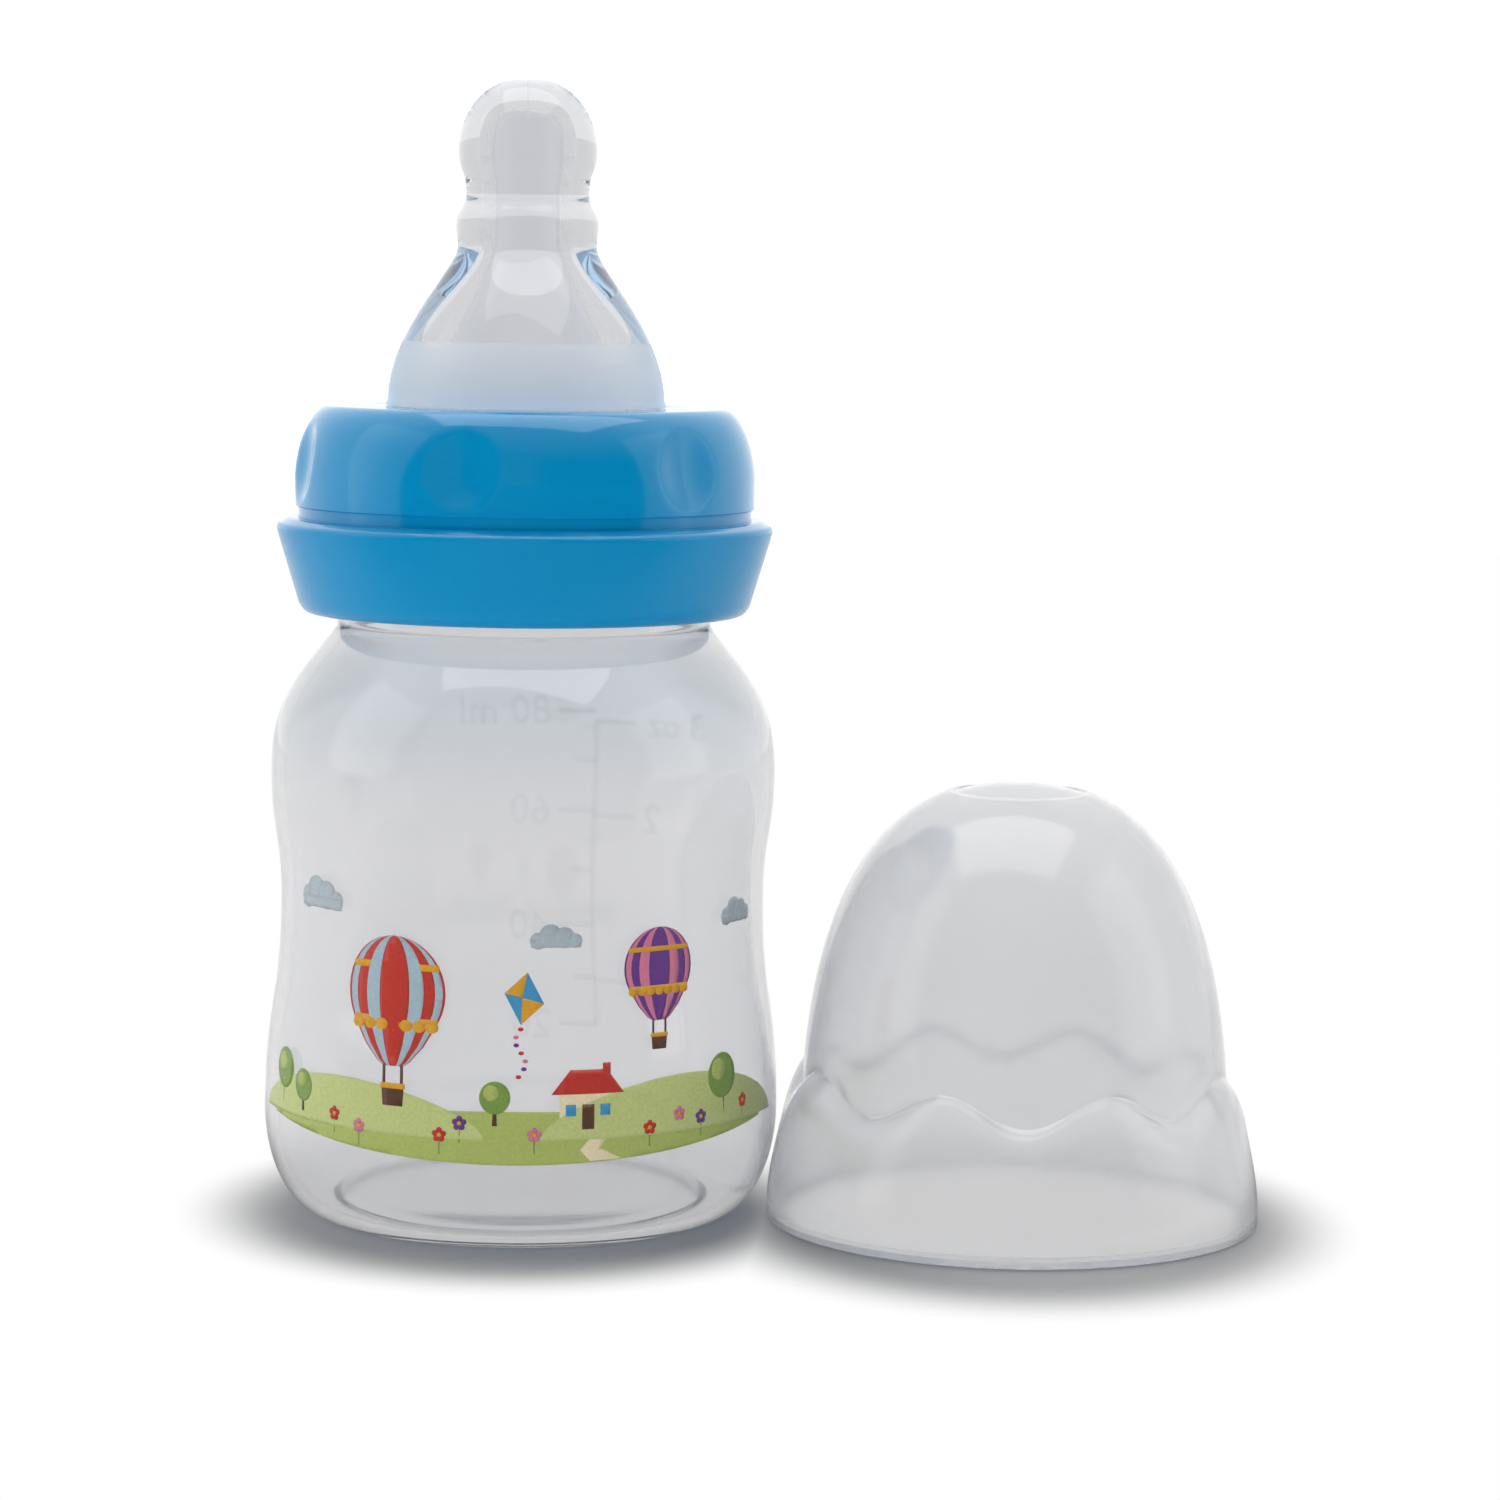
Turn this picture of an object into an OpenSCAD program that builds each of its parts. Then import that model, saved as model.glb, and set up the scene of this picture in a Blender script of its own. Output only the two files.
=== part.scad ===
// Small feeding bottle in four pieces: a clear waisted bottle with a screw neck, a soft
// teat, a screw ring that clamps the teat's flange on the bottle's mouth, and a dome cap
// that is off and stands beside the bottle. Millimetres, +Z up. The origin is the centre
// of the bottle's foot, on the table, and the front faces -Y.

/* [Bottle] */
// Largest radius of the body, at its belly
belly_r = 25.8; // [22:0.1:30]
// Height at which the belly is widest
belly_z = 10.5; // [8:0.5:16]
// Radius of the body at its waist
waist_r = 24.2; // [19:0.1:28]
// Height of the waist
waist_z = 31.8; // [24:0.2:36]
// Radius of the body at its shoulder
shoulder_r = 25.2; // [22:0.1:30]
// Height of the shoulder
shoulder_z = 44.5; // [40:0.5:50]
// Height at which the shoulder meets the neck
neck_z = 59; // [54:0.5:66]
// Outside radius of the neck between its threads
neck_r = 18.6; // [15:0.1:20]
// Length of the neck, from the shoulder to the mouth
neck_h = 18; // [16:0.2:26]
// Wall of the bottle
bottle_wall = 1.2; // [0.8:0.05:2]
// Outer radius of the foot that the bottle stands on
foot_r = 20; // [16:0.1:22]
// Width of the flat foot
foot_w = 2; // [1:0.1:4]
// Height of the hollow under the bottle
push_up = 2.2; // [1:0.1:5]
// Height of the bead round the root of the neck
bead_h = 1.6; // [0.8:0.1:3]

/* [Graduation] */
// How far the raised scale stands out from the bottle
mark_out = 0.25; // [0.1:0.05:0.6]
// Width of a raised line of the scale
mark_w = 0.5; // [0.3:0.05:1]
// Volume between two marks on the millilitre side
ml_step = 10; // [5:5:20]
// Volume at the highest millilitre mark
ml_top = 80; // [40:10:80]
// Volume between two marks on the ounce side
oz_ml = 29.57; // [28.4:0.01:29.6]

/* [Thread] */
// Rise of the thread in one turn
thread_pitch = 4; // [3:0.1:5]
// How far the neck's thread stands out
thread_out = 1.1; // [0.7:0.05:1.5]
// Height of a thread ridge at its root
thread_root = 1.7; // [1.2:0.05:1.9]
// Height of a thread ridge at its crest
thread_crest = 0.8; // [0.4:0.05:1.2]
// Turns of thread on the neck
neck_turns = 1.25; // [1:0.25:1.5]
// Turns of thread in the ring
ring_turns = 1; // [0.75:0.25:1.25]
// Radial clearance between a thread's crest and the wall that it runs past
thread_gap = 0.3; // [0.2:0.05:0.5]

/* [Teat] */
// Height of the teat above the ring's top
teat_h = 32.2; // [28:0.2:42]
// Radius of the bulb at the tip
bulb_r = 6.9; // [6:0.1:7.5]
// Radius of the necking under the bulb
stem_r = 6.12; // [5:0.02:6.5]
// Radius of the swelling under the necking
swell_r = 7.12; // [6.6:0.02:8]
// Radius of the teat where it leaves the ring
teat_base_r = 13.75; // [12:0.05:14.5]
// Wall of the teat
teat_wall = 3; // [1.5:0.1:3.2]
// Radius of the feeding hole
feed_hole_r = 0.5; // [0.3:0.05:1]
// Thickness of the flange that the ring clamps
flange_t = 2; // [1.4:0.1:3]
// Width of the air vent across the flange's underside
vent_w = 1.2; // [0.8:0.1:2]

/* [Screw ring] */
// Wall of the ring's grip, outside its thread
grip_wall = 2.9; // [2.2:0.1:4]
// Height of the grip above the skirt's ledge
grip_h = 11.1; // [10:0.1:16]
// Thickness of the ring's top
ring_top_t = 1.6; // [1.2:0.1:2.4]
// How far the skirt's edge stands out from the grip
skirt_out = 1.8; // [1.4:0.1:3]
// Height of the skirt
skirt_h = 9.4; // [8:0.1:12]
// Wall of the skirt at its lower edge
skirt_wall = 1.4; // [1:0.1:2]
// Number of finger dents round the grip
dent_count = 6; // [3:1:8]
// Radius of the ball that shapes a dent
dent_r = 8.9; // [7:0.1:12]
// Depth of a dent
dent_depth = 0.9; // [0.3:0.05:1.2]
// Width of the snap groove at the grip's foot
groove_w = 1.1; // [0.8:0.05:1.6]
// Depth of the snap groove
groove_depth = 0.3; // [0.15:0.05:0.5]

/* [Cap] */
// Wall of the cap
cap_wall = 1.1; // [0.8:0.05:1.5]
// Room over the teat's tip inside the closed cap
tip_room = 0.2; // [0.2:0.1:3]
// Number of waves round the cap's shoulder
wave_count = 8; // [6:1:10]
// Height of a wave
wave_rise = 3; // [1:0.1:4]
// Radius of the flat button on top of the cap
button_r = 6.7; // [4:0.1:9]
// Depth to which that button is sunk
button_sink = 0.35; // [0.2:0.05:0.6]
// How far the rim tucks in under the belly of the bottle beside it
park_tuck = 0.8; // [0:0.05:0.9]
// Direction of the cap from the bottle, in degrees from +X
park_turn = -3; // [-40:0.1:40]

/* [Hidden] */
$fn = 96;

// Clearance between faces that meet: the flange, the mouth and the ring's top
seat_gap = 0.05;
// Clearance round the teat in the ring's hole
hole_gap = 0.1;
// How far a ridge is sunk into the wall that carries it
sink = 0.3;
// Clearance between the flanks of the two threads
flank_gap = 0.1;
// Depth under the mouth at which the neck's thread ends
thread_drop = 2;
// How far the neck's bead stays inside the thread's crest
bead_in = 0.1;
// Share of a quarter bend's reach that its two handles take
bend = 0.55;

// Heights and radii that follow from the sizes above
mouth_z = neck_z + neck_h;
flange_z = mouth_z + seat_gap;
plate_z = flange_z + flange_t + seat_gap;
ring_top_z = plate_z + ring_top_t;
ledge_z = ring_top_z - grip_h;
skirt_z = ledge_z - skirt_h;
tip_z = ring_top_z + teat_h;

thread_crest_r = neck_r + thread_out;
bead_r = thread_crest_r - bead_in;
bore_r = thread_crest_r + thread_gap;
ring_crest_r = neck_r + thread_gap;
grip_r = bore_r + grip_wall;
skirt_r = grip_r + skirt_out;
neck_thread_z = mouth_z - thread_drop - neck_turns * thread_pitch;

// The ring's ridge bears on the neck's from below: flank to flank, with the gap between
thread_slope = (thread_root - thread_crest) / 2 / (thread_out + sink);
flank_z = thread_root - thread_slope * (thread_out + thread_gap + 2 * sink);
ring_thread_z = neck_thread_z - flank_z - flank_gap;

// ---- curves -------------------------------------------------------------------

// Cubic curve from a to d. It leaves a towards b and reaches d from c.
function curve(a, b, c, d, n = 10) = [
    for (i = [0:n])
        let (t = i / n, u = 1 - t)
            u * u * u * a + 3 * u * u * t * b + 3 * u * t * t * c + t * t * t * d
];

// S-bend between two places where the wall runs straight up
function sway(a, d, n = 8) =
    curve(a, [a.x, (a.y + d.y) / 2], [d.x, (a.y + d.y) / 2], d, n);

// Quarter bend from a flat place a to an upright wall at d
function rise(a, d, n = 8) = curve(
    a, [a.x + bend * (d.x - a.x), a.y], [d.x, d.y - bend * (d.y - a.y)], d, n);

// The same bend from an upright wall at a to a flat place d
function close_in(a, d, n = 8) = curve(
    a, [a.x, a.y + bend * (d.y - a.y)], [d.x + bend * (a.x - d.x), d.y], d, n);

// Stretches joined end to end, without the doubled points
function chain(parts) = [
    for (i = [0:len(parts) - 1])
        for (j = [i == 0 ? 0 : 1 : 1 : len(parts[i]) - 1]) parts[i][j]
];

function reverse(p) = [for (i = [len(p) - 1:-1:0]) p[i]];

// The path moved w to its left, which is inwards on a path that runs up the outside.
// A point on the axis stays on it.
function inset(p, w) = [
    for (i = [0:len(p) - 1])
        let (d = p[min(i + 1, len(p) - 1)] - p[max(i - 1, 0)])
            p[i].x == 0 ? [0, p[i].y + w * sign(d.x)] : p[i] + w * [-d.y, d.x] / norm(d)
];

// Wall of thickness w inside the path
function wall_of(p, w) = concat(p, reverse(inset(p, w)));

// ---- thread -------------------------------------------------------------------

// Helical ridge from radius r0, inside the wall that carries it, to its crest at r1.
// It runs out over the last eighth of a turn at each end, to a low blunt start.
module thread_ridge(r0, r1, turns, steps = 36, blunt = 0.35) {
    n = ceil(turns * steps);
    fade = steps / 8;
    outward = r1 > r0;
    points = [
        for (i = [0:n])
            let (
                a = 360 * turns * i / n,
                z = thread_pitch * turns * i / n,
                k = min(1, blunt + i / fade, blunt + (n - i) / fade),
                crest = r0 + (r1 - r0) * k
            )
                each [
                    for (q = [
                        [r0, -thread_root / 2], [crest, -thread_crest / 2],
                        [crest, thread_crest / 2], [r0, thread_root / 2]
                    ]) [q.x * cos(a), q.x * sin(a), z + q.y]
                ]
    ];
    sides = [
        for (i = [0:n - 1])
            for (j = [0:3])
                let (k = (j + 1) % 4) [4 * i + j, 4 * i + k, 4 * i + 4 + k, 4 * i + 4 + j]
    ];
    ends = [[3, 2, 1, 0], [4 * n, 4 * n + 1, 4 * n + 2, 4 * n + 3]];
    faces = concat(sides, ends);
    polyhedron(points, outward ? faces : [for (f = faces) reverse(f)]);
}

// ---- bottle -------------------------------------------------------------------

foot_in_r = foot_r - foot_w;

// Half section of the bottle's outside, from the axis under the base to the mouth
bottle_path = chain([
    curve([0, push_up], [foot_in_r * bend, push_up], [foot_in_r, push_up], [foot_in_r, 0]),
    [[foot_in_r, 0], [foot_r, 0]],
    rise([foot_r, 0], [belly_r, belly_z], 10),
    sway([belly_r, belly_z], [waist_r, waist_z]),
    sway([waist_r, waist_z], [shoulder_r, shoulder_z]),
    curve(
        [shoulder_r, shoulder_z],
        [shoulder_r, shoulder_z + 0.49 * (neck_z - shoulder_z)],
        [neck_r + 0.56 * (shoulder_r - neck_r), neck_z - 0.33 * (neck_z - shoulder_z)],
        [neck_r, neck_z], 12),
    [[neck_r, neck_z], [neck_r, mouth_z]]
]);

// Radius of the body's outside at a height above its belly
body_wall = [for (p = bottle_path) if (p.x > foot_r && p.y >= belly_z && p.y < neck_z) p];
function body_r(z) = lookup(z, [for (p = body_wall) [p.y, p.x]]);

// Height to which a volume in millilitres fills the bottle: the inside is added up in
// thin slices from the floor
floor_z = push_up + bottle_wall;
inner_path = [for (p = inset(bottle_path, bottle_wall)) if (p.x > foot_in_r) p];
function inner_r(z) = lookup(z, [for (p = inner_path) [p.y, p.x]]);
function fill(z, ml, need, dz = 0.25) =
    ml >= need || z >= neck_z ? z : fill(z + dz, ml + PI * pow(inner_r(z), 2) * dz / 1000, need);
function fill_z(ml) = fill(floor_z, 0, ml);

// The scale runs up the back. Its stem stands at stem_turn from +X.
stem_turn = 74;
tick_turn = 10;
half_tick_turn = 6;
// The ounce marks stop at the shoulder's bend, and there are three of them
oz_count = 3;
mark_high_z = min(fill_z(oz_count * oz_ml), shoulder_z + 3);

// Raised line round the body at a height, between two directions
module tick(z, from, to) {
    rotate([0, 0, from])
        rotate_extrude(angle = to - from)
            translate([body_r(z) - sink, z - mark_w / 2])
                square([sink + mark_out, mark_w]);
}

module scale_marks() {
    low_z = fill_z(2 * ml_step);
    stem = [for (p = body_wall) if (p.y > low_z && p.y < mark_high_z) p];
    stem_w = mark_w / body_r(waist_z) * 180 / PI;
    rotate([0, 0, stem_turn])
        rotate_extrude(angle = stem_w)
            polygon(concat(inset(stem, sink), reverse(inset(stem, -mark_out))));
    for (ml = [2 * ml_step:ml_step:ml_top]) {
        reach = ml % (2 * ml_step) == 0 ? tick_turn : half_tick_turn;
        tick(fill_z(ml), stem_turn, stem_turn + reach);
    }
    for (oz = [1:oz_count])
        tick(min(fill_z(oz * oz_ml), mark_high_z), stem_turn - tick_turn, stem_turn + stem_w);
}

// Blow-moulded clear bottle, one piece with its neck, thread and raised scale
module bottle() {
    color([0.84, 0.86, 0.88, 0.45]) {
        rotate_extrude() polygon(wall_of(bottle_path, bottle_wall));
        translate([0, 0, neck_thread_z])
            thread_ridge(neck_r - sink, thread_crest_r, neck_turns);
        // Bead round the root of the neck, with a rounded edge
        rotate_extrude()
            translate([0, skirt_z + bead_h])
                polygon(concat(
                    [[neck_r - sink, bead_h], [neck_r - sink, 0]],
                    sway([neck_r, 0], [bead_r, bead_h / 2], 4),
                    sway([bead_r, bead_h / 2], [neck_r, bead_h], 4)));
        scale_marks();
    }
}

// ---- teat ---------------------------------------------------------------------

// Depths below the tip of the bulb's widest ring, the necking, the swelling and the
// place where the flare starts
bulb_drop = 7.1;
stem_drop = 11;
swell_drop = 14.4;
flare_drop = 16.4;
flare_r = swell_r - 0.2;
tip_flat_r = 1;
// The ring's top lies in a groove of the teat, under a small lip
groove_in = 0.3;
lip_out = 0.15;
lip_h = 0.7;

flange_r = neck_r - 0.1;
plate_hole_r = teat_base_r - groove_in + hole_gap;

teat_flare_z = tip_z - flare_drop;
lip_z = ring_top_z + seat_gap;

// Half section of the teat's outside above the ring, from its base to its tip
teat_path = chain([
    curve(
        [teat_base_r, lip_z + lip_h],
        [teat_base_r - 0.25, lip_z + lip_h + 0.5 * (teat_flare_z - lip_z)],
        [flare_r, teat_flare_z - 0.13 * (teat_flare_z - lip_z)],
        [flare_r, teat_flare_z], 14),
    sway([flare_r, teat_flare_z], [swell_r, tip_z - swell_drop], 4),
    sway([swell_r, tip_z - swell_drop], [stem_r, tip_z - stem_drop], 6),
    sway([stem_r, tip_z - stem_drop], [bulb_r, tip_z - bulb_drop], 6),
    close_in([bulb_r, tip_z - bulb_drop], [tip_flat_r, tip_z], 10),
    [[tip_flat_r, tip_z], [0, tip_z]]
]);

// Moulded silicone teat: nipple, groove for the ring's top, and clamped flange
module teat() {
    inner = inset(teat_path, teat_wall);
    inner_base_r = inner[0].x;
    section = concat(
        [
            [inner_base_r, flange_z], [flange_r, flange_z], [flange_r, flange_z + flange_t],
            [teat_base_r - groove_in, flange_z + flange_t], [teat_base_r - groove_in, lip_z],
            [teat_base_r + lip_out, lip_z], [teat_base_r + lip_out, lip_z + lip_h / 2]
        ],
        teat_path, reverse(inner));
    color([0.86, 0.88, 0.9, 0.6])
        difference() {
            rotate_extrude() polygon(section);
            translate([0, 0, tip_z - 2 * teat_wall]) cylinder(r = feed_hole_r, h = 3 * teat_wall);
            // Air vent across the flange's underside, from its bore to its edge
            translate([inner_base_r - vent_w, -vent_w / 2, flange_z - vent_w])
                cube([flange_r, vent_w, 1.5 * vent_w]);
        }
}

// ---- screw ring ---------------------------------------------------------------

// Depth of the soft bend at the grip's upper edge, and how far in it starts
grip_bend_h = 6.8;
grip_bend_in = 3.4;
// Rounding of the skirt's upper edge, its ledge's fall, and the taper of its wall
skirt_round = 1.1;
ledge_fall = 0.5;
skirt_taper = 2;
// Rounding of the skirt's lower edge, out and up, and of the hole's edge
foot_round_out = 0.7;
foot_round_up = 1.6;
hole_round = 0.4;
// Depth of the threaded bore under the ledge, and the foot of the skirt's inner face
bore_drop = 2.5;
bore_foot_h = 0.8;

skirt_low_r = skirt_r - skirt_taper;
skirt_foot_r = bore_r + skirt_wall;
// Inside radius of the skirt under its ledge, where its wall is twice as thick
skirt_in_r = skirt_r - 2 * skirt_wall;
// Direction of the first dent, from +X
dent_turn = -43;

// Half section of the ring's outside, from the skirt's lower edge to the top
ring_path = chain([
    curve(
        [skirt_foot_r, skirt_z], [skirt_low_r - foot_round_out, skirt_z],
        [skirt_low_r - 0.2, skirt_z + foot_round_out],
        [skirt_low_r, skirt_z + foot_round_up], 6),
    [[skirt_low_r, skirt_z + foot_round_up], [skirt_r, ledge_z - skirt_round]],
    curve(
        [skirt_r, ledge_z - skirt_round], [skirt_r, ledge_z - skirt_round / 2],
        [skirt_r - 0.4, ledge_z - ledge_fall], [grip_r + skirt_out / 3, ledge_z], 6),
    [[grip_r + skirt_out / 3, ledge_z], [grip_r - groove_depth, ledge_z]],
    [[grip_r - groove_depth, ledge_z], [grip_r - groove_depth, ledge_z + groove_w]],
    [[grip_r - groove_depth, ledge_z + groove_w], [grip_r, ledge_z + groove_w]],
    [[grip_r, ledge_z + groove_w], [grip_r, ring_top_z - grip_bend_h]],
    curve(
        [grip_r, ring_top_z - grip_bend_h], [grip_r - 0.2, ring_top_z - grip_bend_h / 2],
        [grip_r - grip_bend_in / 2, ring_top_z], [grip_r - grip_bend_in, ring_top_z], 10)
]);

// Moulded ring: closed top with the teat's hole, threaded bore, grip and flared skirt
module screw_ring() {
    bore_low_z = ledge_z - bore_drop;
    section = concat(
        ring_path,
        [
            [plate_hole_r + hole_round, ring_top_z], [plate_hole_r, ring_top_z - hole_round],
            [plate_hole_r, plate_z], [bore_r, plate_z], [bore_r, bore_low_z],
            [skirt_in_r, bore_low_z - 1], [bore_r, skirt_z + bore_foot_h]
        ]);
    color([0.13, 0.62, 0.86]) {
        difference() {
            rotate_extrude() polygon(section);
            for (i = [0:dent_count - 1])
                rotate([0, 0, dent_turn + i * 360 / dent_count])
                    translate([grip_r - dent_depth + dent_r, 0, ledge_z + grip_h / 2])
                        sphere(r = dent_r);
        }
        translate([0, 0, ring_thread_z])
            thread_ridge(bore_r + sink, ring_crest_r, ring_turns);
    }
}

// ---- cap ----------------------------------------------------------------------

cap_r = skirt_r;
cap_h = tip_z - ledge_z + tip_room + cap_wall;
// Foot and top of the shoulder between the cap's skirt and its dome
step_low_z = grip_h - 0.9;
step_top_z = grip_h + 3;
step_r = cap_r - 1.45;
dome_r = cap_r - 3.4;
rim_band = 1.5;
// Ridge inside the rim that snaps into the ring's groove
snap_grip = 0.1;

cap_x = (belly_r + cap_r - park_tuck) * cos(park_turn);
cap_y = (belly_r + cap_r - park_tuck) * sin(park_turn);

// Fall of the shoulder from the dome to the skirt, raised by up
function step_path(up, out = 0) = curve(
    [step_r + out, step_low_z + up], [step_r + out - 0.3, step_low_z + up + 1.2],
    [dome_r + out + 0.15, step_top_z + up - 1.2], [dome_r + out, step_top_z + up], 5);

// The dome's bend up to the axis, and the same with its top sunk to form the button
dome_path = curve(
    [dome_r, step_top_z], [dome_r - 0.9, step_top_z + 0.585 * (cap_h - step_top_z)],
    [0.69 * dome_r, cap_h], [0, cap_h], 16);
button_z = lookup(button_r, dome_path);
sunk_dome_path = concat(
    [for (p = dome_path) if (p.x > button_r) p],
    [[button_r, button_z], [button_r - button_sink, button_z - button_sink]],
    [for (p = dome_path) if (p.x < button_r - 2 * button_sink) p - [0, button_sink]]);

// Half section of the cap's side, from the rim to the top of its shoulder
side_path = chain([
    [[cap_r, 0], [cap_r, rim_band]],
    curve(
        [cap_r, rim_band], [cap_r - 0.05, rim_band + 0.35 * (step_low_z - rim_band)],
        [step_r + 0.35, step_low_z - 1.5], [step_r, step_low_z], 5),
    step_path(0)
]);
cap_path = chain([side_path, dome_path]);

// Half section of the ring of material from which the crests of the waves are cut
wave_path = chain([
    [[step_r - 0.1, step_low_z - 2], [step_r - 0.1, step_low_z + wave_rise]],
    step_path(wave_rise, -0.1)
]);

// Solid form of the cap, w inside its outer face: dome, shoulder and skirt turned
// round the axis, and an arch for the crest of each wave of the shoulder
module cap_form(w) {
    half_wave = (dome_r + step_r) / 2 * sin(180 / wave_count);
    arch_h = step_top_z - step_low_z + wave_rise;
    arch_r = (half_wave * half_wave + arch_h * arch_h) / (2 * arch_h);
    wave_side = inset(wave_path, w);
    wave_low_z = wave_side[0].y;
    wave_high_z = wave_side[len(wave_side) - 1].y;
    path = w == 0 ? chain([side_path, sunk_dome_path]) : inset(cap_path, w);
    rotate_extrude() polygon(concat([[0, 0]], path));
    for (i = [0:wave_count - 1])
        rotate([0, 0, (i + 0.5) * 360 / wave_count - 90])
            intersection() {
                rotate_extrude() polygon(concat([[0, wave_low_z]], wave_side, [[0, wave_high_z]]));
                translate([dome_r / 2, 0, step_top_z + wave_rise - arch_r])
                    rotate([0, 90, 0]) cylinder(r = arch_r - w, h = cap_r);
            }
}

// Moulded dome cap with a wavy shoulder, open below
module cap() {
    color([0.86, 0.87, 0.88, 0.6])
        translate([cap_x, cap_y, 0]) {
            difference() {
                cap_form(0);
                cap_form(cap_wall);
            }
            rotate_extrude()
                polygon([
                    [cap_r - cap_wall + sink, 0], [cap_r - cap_wall, 0],
                    [grip_r - snap_grip, groove_w / 2], [cap_r - cap_wall, groove_w],
                    [cap_r - cap_wall + sink, groove_w]
                ]);
        }
}

bottle();
teat();
screw_ring();
cap();
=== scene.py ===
import math
import bmesh
import bpy
from mathutils import Matrix, Vector


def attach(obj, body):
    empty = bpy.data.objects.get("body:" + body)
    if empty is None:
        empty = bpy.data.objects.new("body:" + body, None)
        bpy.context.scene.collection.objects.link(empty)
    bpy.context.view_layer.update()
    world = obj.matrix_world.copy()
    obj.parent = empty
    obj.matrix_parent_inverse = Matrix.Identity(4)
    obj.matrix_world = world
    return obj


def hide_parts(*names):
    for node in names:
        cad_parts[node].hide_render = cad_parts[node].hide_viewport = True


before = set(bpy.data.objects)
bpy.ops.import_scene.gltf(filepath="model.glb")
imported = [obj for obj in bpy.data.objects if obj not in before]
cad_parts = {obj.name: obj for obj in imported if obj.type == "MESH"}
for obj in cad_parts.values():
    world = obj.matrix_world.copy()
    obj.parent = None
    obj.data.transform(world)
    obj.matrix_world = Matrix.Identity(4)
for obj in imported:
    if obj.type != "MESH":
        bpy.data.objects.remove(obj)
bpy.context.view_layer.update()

# ---- camera --------------------------------------------------------------------
# A short tele lens 0.43 m in front of the bottle, a little above its ring and tipped
# down to its middle, with the small roll of a hand-set tripod.
CAMERA_PLACE = Vector((0.0227, -0.4303, 0.0923))
CAMERA_TIP = 0.1058
CAMERA_ROLL = 0.0126
CAMERA_LENS, SENSOR_WIDTH = 103.45, 36

camera_data = bpy.data.cameras.new("camera")
camera_data.lens = CAMERA_LENS
camera_data.sensor_width = SENSOR_WIDTH
camera_data.clip_start = 0.01
camera = bpy.data.objects.new("camera", camera_data)
camera.matrix_world = (
    Matrix.Translation(CAMERA_PLACE)
    @ Matrix.Rotation(math.pi / 2 - CAMERA_TIP, 4, "X")
    @ Matrix.Rotation(CAMERA_ROLL, 4, "Z")
)
bpy.context.scene.collection.objects.link(camera)
bpy.context.scene.camera = camera


# ---- bottle --------------------------------------------------------------------
# Injection blow-moulded clear polypropylene, one piece with its neck and thread. The
# body is drawn in to a waist, stands on a narrow foot round a hollow base, and is a
# little hazy, as polypropylene is next to glass.
MM = 0.001
BELLY = (25.8, 10.5)
WAIST = (24.2, 31.8)
SHOULDER = (25.2, 44.5)
NECK_R, NECK_Z, MOUTH_Z = 18.6, 59.0, 77.0
FOOT_R, FOOT_W, PUSH_UP = 20.0, 2.0, 2.2
BOTTLE_WALL = 1.2
PITCH, THREAD_OUT, NECK_TURNS = 4.0, 1.1, 1.25
THREAD_ROOT, THREAD_CREST = 1.7, 0.8
SINK = 0.3
BEAD_Z, BEAD_H, BEAD_OUT = 61.8, 1.6, 1.0
# Heights in metres between which a painted blue light from the ring comes into the wall's
# colour at the shoulder, and goes out again at the neck
RING_LIGHT_IN, RING_LIGHT_OUT = (0.04, 0.053), (0.0555, 0.0575)


def curve(a, b, c, d, n):
    """The cubic curve from a to d that leaves towards b and arrives from c, in n steps."""
    out = []
    for i in range(n + 1):
        t = i / n
        u = 1 - t
        w = (u * u * u, 3 * u * u * t, 3 * u * t * t, t * t * t)
        out.append(tuple(sum(k * p[j] for k, p in zip(w, (a, b, c, d))) for j in (0, 1)))
    return out


def sway(a, d, n):
    """S-bend in n steps between two places where the wall runs straight up."""
    middle = (a[1] + d[1]) / 2
    return curve(a, (a[0], middle), (d[0], middle), d, n)


def chain(*parts):
    """Stretches joined end to end, without the doubled points."""
    out = list(parts[0])
    for part in parts[1:]:
        out += part[1:]
    return out


def inset(path, wall):
    """The path moved to its left by the wall. A point on the axis stays on it."""
    out = []
    for i, (r, z) in enumerate(path):
        before, after = path[max(i - 1, 0)], path[min(i + 1, len(path) - 1)]
        dr, dz = after[0] - before[0], after[1] - before[1]
        length = math.hypot(dr, dz)
        if r == 0:
            out.append((0.0, z + math.copysign(wall, dr)))
        else:
            out.append((r - wall * dz / length, z + wall * dr / length))
    return out


def turned(outline, closed=True, steps=192):
    """A bmesh of the outline of radii and heights in millimetres, spun round Z."""
    bm = bmesh.new()
    points = [bm.verts.new((r * MM, 0, z * MM)) for r, z in outline]
    ends = zip(points, points[1:] + points[:1]) if closed else zip(points, points[1:])
    edges = [bm.edges.new(pair) for pair in ends]
    bmesh.ops.spin(
        bm, geom=points + edges, axis=(0, 0, 1), cent=(0, 0, 0),
        angle=2 * math.pi, steps=steps, use_merge=True,
    )
    bmesh.ops.remove_doubles(bm, verts=bm.verts, dist=1e-7)
    return bm


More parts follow.
